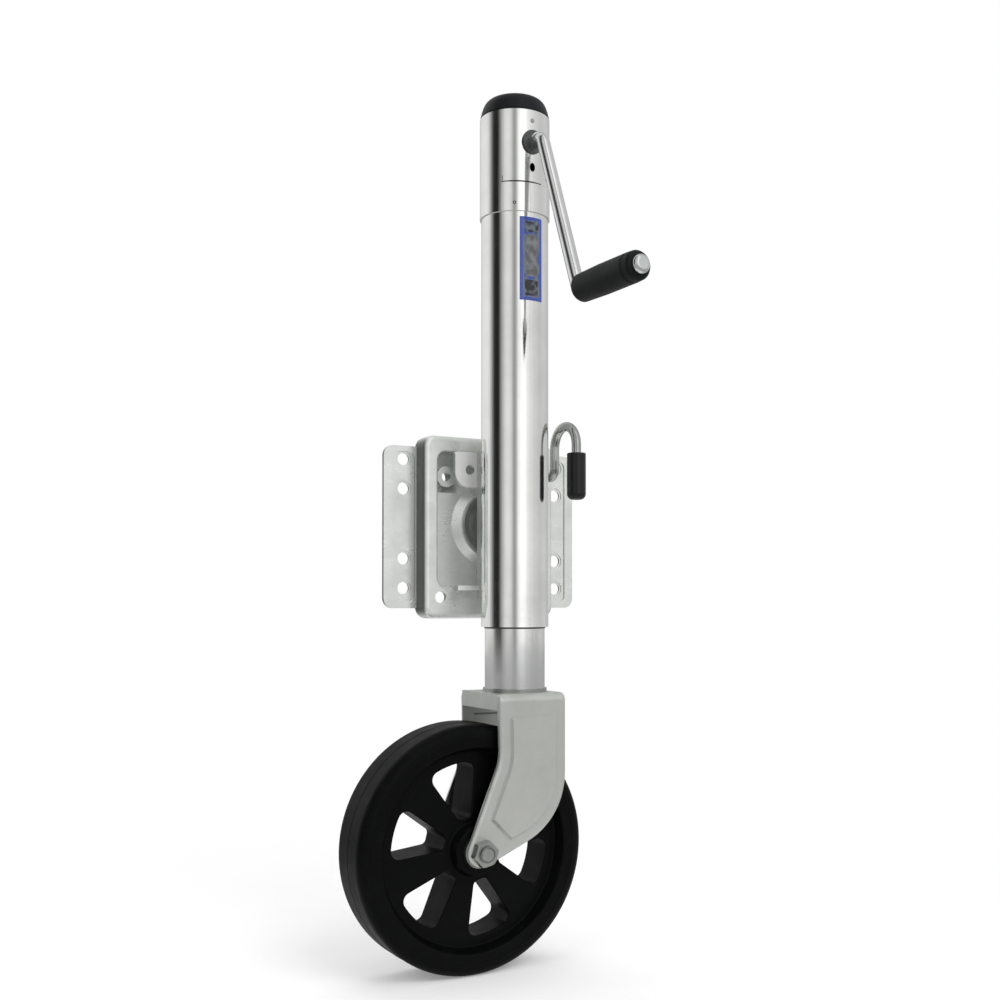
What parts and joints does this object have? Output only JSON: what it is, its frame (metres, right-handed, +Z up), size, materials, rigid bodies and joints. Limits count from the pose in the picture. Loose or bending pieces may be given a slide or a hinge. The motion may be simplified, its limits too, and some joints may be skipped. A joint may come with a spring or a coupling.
{
  "type": "trailer tongue jack",
  "caption": "Swivel-mounted jack with a side crank, a telescoping tube and a trailing caster wheel, locked upright by a spring pull pin.",
  "frame": {"origin": "where the swivel axis meets the mounting face, at the middle of the frame bolt pattern", "axes": "+Z up the jack's tube, +Y into the trailer's frame, and the stored wheel trails towards -X"},
  "size_m": [0.2461, 0.2492, 0.729],
  "materials": {
    "plated_plate": "satin zinc plate",
    "plated_bracket": "bright zinc plate",
    "plated_tube": "polished zinc plate",
    "plated_fork": "satin zinc plate",
    "plated_rod": "bright zinc plate",
    "hidden_steel": "oiled, machined",
    "bronze": "sintered",
    "sintered_iron": "sintered, oiled",
    "fasteners": "zinc plate",
    "cap_plastic": "semi-matt black",
    "grip_plastic": "semi-matt black",
    "grip_vinyl": "dipped vinyl",
    "wheel_plastic": "moulded black",
    "bush_plastic": "black nylon",
    "label_film": "gloss film"
  },
  "bodies": {
    "mount": {"mount_plate": "plated_plate", "pivot_thrust_ring": "hidden_steel"},
    "column": {"pivot_drum": "fasteners", "pivot_washer": "fasteners", "pivot_retaining_ring": "hidden_steel", "tube_bracket": "plated_bracket", "pin_housing": "plated_bracket", "pin_housing_cap": "plated_bracket", "outer_tube": "plated_tube", "head_sleeve": "plated_tube", "top_cap": "cap_plastic", "cap_rivet": "fasteners", "label_plate": "label_film", "crank_bush_front": "sintered_iron", "crank_bush_rear": "sintered_iron", "bearing_plate": "hidden_steel", "thrust_bearing": "hidden_steel"},
    "pull_pin": {"pull_pin": "plated_rod", "pin_collar": "hidden_steel", "pin_grip": "grip_vinyl", "pin_spring": "hidden_steel"},
    "crank": {"crank_rod": "plated_rod", "drive_pinion": "hidden_steel", "pinion_pin": "hidden_steel", "crank_push_ring": "fasteners", "grip_push_cap": "fasteners"},
    "grip": {"handle_grip": "grip_plastic"},
    "screw": {"lead_screw": "hidden_steel", "driven_gear": "hidden_steel", "gear_pin": "hidden_steel"},
    "ram": {"inner_tube": "plated_tube", "screw_nut": "bronze", "ram_base": "hidden_steel", "kingpin": "fasteners", "caster_washer": "fasteners"},
    "caster": {"fork": "plated_fork", "axle_bolt": "fasteners", "axle_nut": "fasteners", "axle_sleeve": "hidden_steel", "axle_washers": "fasteners"},
    "wheel": {"wheel": "wheel_plastic", "wheel_bushes": "bush_plastic"}
  },
  "joints": [
    {"name": "column_swivel", "type": "hinge", "parent": "mount", "child": "column", "pos_m": [0, 0, 0], "axis": [0, 1, 0], "range_deg": [-90, 90]},
    {"name": "pull_pin_slide", "type": "slide", "parent": "column", "child": "pull_pin", "axis": [0, 1, 0], "range_m": [0, 0.01], "stiffness_N_per_m": 1500, "springref_m": 0.012, "deforming": ["pin_spring"]},
    {"name": "crank_spin", "type": "hinge", "parent": "column", "child": "crank", "pos_m": [0, -0.062, 0.315], "axis": [0, 1, 0], "range_deg": [0, 36576]},
    {"name": "grip_spin", "type": "hinge", "parent": "crank", "child": "grip", "pos_m": [0, -0.206, 0.176], "axis": [0, 1, 0], "continuous": true},
    {"name": "screw_spin", "type": "hinge", "parent": "column", "child": "screw", "pos_m": [0, -0.062, 0], "axis": [0, 0, 1], "range_deg": [-18288, 0]},
    {"name": "ram_slide", "type": "slide", "parent": "column", "child": "ram", "axis": [0, 0, -1], "range_m": [0, 0.254]},
    {"name": "caster_swivel", "type": "hinge", "parent": "ram", "child": "caster", "pos_m": [0, -0.062, -0.1458], "axis": [0, 0, 1], "continuous": true},
    {"name": "wheel_spin", "type": "hinge", "parent": "caster", "child": "wheel", "pos_m": [-0.0495, -0.062, -0.2684], "axis": [0, 1, 0], "continuous": true}
  ],
  "couplings": [
    {"joint": "screw_spin", "follows": "crank_spin", "ratio": -0.5},
    {"joint": "ram_slide", "follows": "crank_spin", "m_per_rad": 0.00039789}
  ]
}
